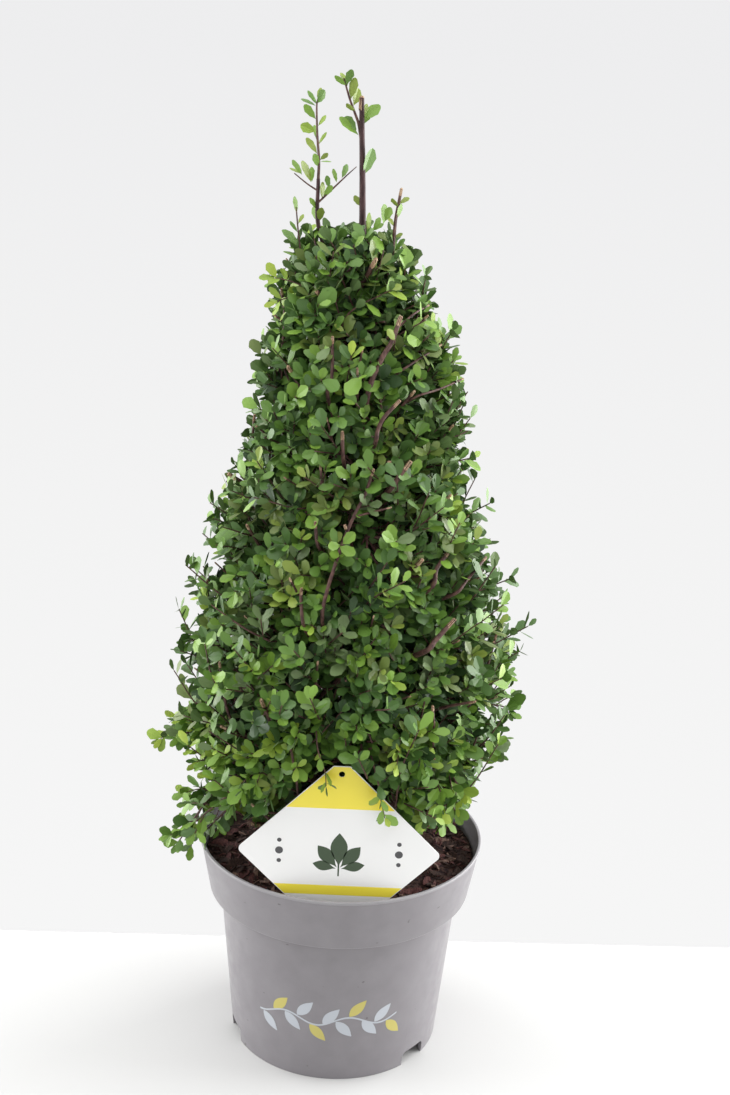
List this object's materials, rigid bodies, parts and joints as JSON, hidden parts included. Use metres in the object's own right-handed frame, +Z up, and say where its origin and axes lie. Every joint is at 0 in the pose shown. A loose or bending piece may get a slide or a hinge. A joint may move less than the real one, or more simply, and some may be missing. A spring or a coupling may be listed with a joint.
{
  "type": "potted japanese holly",
  "caption": "Potted evergreen shrub clipped to a slim cone, with small glossy leaves, bare leaders on top, a grey nursery pot and a plain label.",
  "frame": {"origin": "middle of the pot's flat underside, on the ground", "axes": "+Z up along the plant, -Y towards the side with the label, +X to the right seen from there"},
  "size_m": [0.3345, 0.3012, 0.7706],
  "materials": {
    "pot_plastic": "satin mid grey plastic",
    "compost": "damp bark compost, matte",
    "label_card": "smooth printed plastic card",
    "bark": "fine rough brown bark",
    "leaf": "glossy green leaf"
  },
  "bodies": {
    "root": {"pot": "pot_plastic", "root_ball": "compost", "plant_label": "label_card", "trunk": "bark", "bough_1": "bark", "bough_2": "bark", "bough_3": "bark", "bough_4": "bark", "left_leader": "bark", "skirt_foliage_1": "leaf", "skirt_foliage_2": "leaf", "skirt_foliage_3": "leaf", "skirt_foliage_4": "leaf", "lower_foliage_1": "leaf", "lower_foliage_2": "leaf", "lower_foliage_3": "leaf", "middle_foliage_1": "leaf", "middle_foliage_2": "leaf", "middle_foliage_3": "leaf", "upper_foliage_1": "leaf", "upper_foliage_2": "leaf", "upper_foliage_3": "leaf", "left_leader_foliage": "leaf", "top_shoot_foliage": "leaf"}
  },
  "joints": []
}
